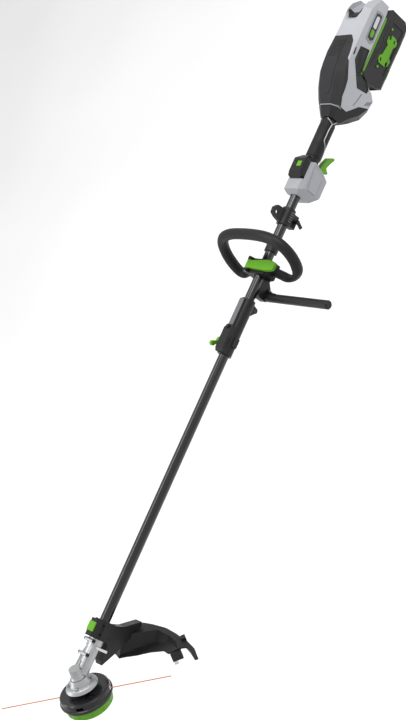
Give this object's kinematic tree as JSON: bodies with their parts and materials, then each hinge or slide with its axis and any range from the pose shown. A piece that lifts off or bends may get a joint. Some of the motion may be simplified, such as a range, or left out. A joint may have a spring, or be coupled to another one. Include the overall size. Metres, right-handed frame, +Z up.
{
  "type": "string trimmer",
  "caption": "Battery string trimmer: rear power head, split shaft with coupler, loop handle with barrier bar, guard, bevel gearbox and bump-feed line head.",
  "frame": {"origin": "centre of the hole in the sling ring above the upper tube, from which the tool hangs", "axes": "+X forward along the shaft towards the line head, +Y to the operator's left, +Z up, square to the shaft"},
  "size_m": [1.9586, 0.3894, 0.2566],
  "materials": {
    "shell_light": "satin moulded plastic, light cool grey",
    "soft_pad": "soft overmould, dark grey",
    "black_plastic": "satin black moulded plastic",
    "vent_mesh": "fine black mesh",
    "copper": "lacquered copper windings",
    "steel": "ground steel",
    "fan_nylon": "dark nylon",
    "board_green": "solder mask",
    "battery_shell": "textured charcoal plastic",
    "lime_trim": "satin lime green plastic",
    "cell_wrap": "shrink-wrapped cells",
    "grip_rubber": "soft grip",
    "throttle_grey": "satin grey plastic",
    "tube_black": "gloss black coated aluminium tube",
    "bush_nylon": "natural nylon",
    "plate_silver": "zinc-plated steel",
    "guard_plastic": "satin black moulded plastic",
    "bolt_black": "black oxide",
    "cast_aluminium": "bright cast aluminium",
    "head_black": "glossy black nylon",
    "line_orange": "translucent orange nylon line"
  },
  "bodies": {
    "main": {"motor_cover_left": "shell_light", "motor_cover_right": "shell_light", "top_pad": "soft_pad", "front_boot": "black_plastic", "vent_grilles": "vent_mesh", "motor_stator": "copper", "motor_bearings": "steel", "control_board": "board_green", "battery_terminals": "black_plastic", "grip_sleeve": "grip_rubber", "throttle_housing_left": "throttle_grey", "throttle_housing_right": "throttle_grey", "control_panel": "black_plastic", "trigger_pin": "steel", "trigger_switch": "black_plastic", "upper_tube": "tube_black", "hanger_bracket": "black_plastic", "stop_collar": "black_plastic", "upper_bushes": "bush_nylon", "coupler_body": "black_plastic"},
    "release": {"release_button": "black_plastic"},
    "upper_drive": {"motor_rotor": "steel", "cooling_fan": "fan_nylon", "upper_drive_shaft": "steel"},
    "battery": {"battery_case": "battery_shell", "battery_trim": "lime_trim", "battery_cells": "cell_wrap"},
    "power_key": {"power_button": "lime_trim"},
    "speed_key": {"speed_button": "fan_nylon"},
    "trigger": {"trigger": "lime_trim"},
    "hanger_screw": {"hanger_wing_screw": "black_plastic"},
    "handle": {"handle_base": "black_plastic", "loop_handle": "grip_rubber", "lever_pin": "steel", "barrier_bar": "black_plastic", "clamp_screws": "steel"},
    "lever": {"handle_lever": "lime_trim"},
    "lock": {"lock_button": "fan_nylon"},
    "knob": {"wing_knob": "lime_trim"},
    "attachment": {"lower_tube": "tube_black", "lower_bushes": "bush_nylon", "guard_bracket": "black_plastic", "bracket_badge": "lime_trim", "clamp_plate": "plate_silver", "guard_shell": "guard_plastic", "cutter_blade": "plate_silver", "attachment_bolts": "bolt_black", "gearbox_case": "cast_aluminium", "gearbox_bearings": "steel"},
    "lower_drive": {"lower_drive_shaft": "steel", "bevel_pinion": "steel"},
    "head": {"bevel_gear": "steel", "output_spindle": "steel", "head_housing": "head_black", "line_spool": "head_black", "head_base": "lime_trim", "bump_spring": "steel", "line_left": "line_orange", "line_right": "line_orange"},
    "bump": {"bump_knob": "head_black"}
  },
  "joints": [
    {"name": "attachment_pull", "type": "slide", "parent": "main", "child": "attachment", "axis": [1, 0, 0], "range_m": [0, 0.06]},
    {"name": "head_spin", "type": "hinge", "parent": "attachment", "child": "head", "pos_m": [1.2075, 0, -0.036], "axis": [-0.5635, 0, 0.8261], "continuous": true},
    {"name": "bump_press", "type": "slide", "parent": "head", "child": "bump", "axis": [-0.5635, 0, 0.8261], "range_m": [0, 0.005], "stiffness_N_per_m": 600, "springref_m": -0.003, "deforming": ["bump_spring"]},
    {"name": "lower_drive_spin", "type": "hinge", "parent": "attachment", "child": "lower_drive", "pos_m": [0.4025, 0, -0.036], "axis": [1, 0, 0], "continuous": true},
    {"name": "upper_drive_spin", "type": "hinge", "parent": "main", "child": "upper_drive", "pos_m": [0, 0, -0.036], "axis": [1, 0, 0], "continuous": true},
    {"name": "battery_slide", "type": "slide", "parent": "main", "child": "battery", "axis": [-1, 0, 0], "range_m": [0, 0.2]},
    {"name": "release_press", "type": "slide", "parent": "main", "child": "release", "axis": [0, 0, -1], "range_m": [0, 0.003], "stiffness_N_per_m": 700, "springref_m": -0.002},
    {"name": "trigger_pull", "type": "hinge", "parent": "main", "child": "trigger", "pos_m": [-0.132, 0, -0.066], "axis": [0, 1, 0], "range_deg": [0, 12], "stiffness_Nm_per_rad": 0.6, "springref_deg": -20.05},
    {"name": "power_press", "type": "slide", "parent": "main", "child": "power_key", "axis": [0, 0, -1], "range_m": [0, 0.0012], "stiffness_N_per_m": 900, "springref_m": -0.0012},
    {"name": "speed_press", "type": "slide", "parent": "main", "child": "speed_key", "axis": [0, 0, -1], "range_m": [0, 0.0012], "stiffness_N_per_m": 900, "springref_m": -0.0012},
    {"name": "hanger_screw_turn", "type": "hinge", "parent": "main", "child": "hanger_screw", "pos_m": [-0.0035, 0, -0.0597], "axis": [0, 1, 0], "continuous": true},
    {"name": "handle_slide", "type": "slide", "parent": "main", "child": "handle", "axis": [1, 0, 0], "range_m": [-0.014, 0.016]},
    {"name": "lever_open", "type": "hinge", "parent": "handle", "child": "lever", "pos_m": [0.141, -0.0327, -0.0133], "axis": [1, 0, 0], "range_deg": [0, 95]},
    {"name": "lock_press", "type": "slide", "parent": "main", "child": "lock", "axis": [0, 0, -1], "range_m": [0, 0.003], "stiffness_N_per_m": 800, "springref_m": -0.002},
    {"name": "knob_turn", "type": "hinge", "parent": "main", "child": "knob", "pos_m": [0.342, -0.0294, -0.036], "axis": [0, 1, 0], "continuous": true}
  ],
  "couplings": [
    {"joint": "lower_drive_spin", "follows": "head_spin", "ratio": -1.4},
    {"joint": "upper_drive_spin", "follows": "head_spin", "ratio": -1.4}
  ]
}
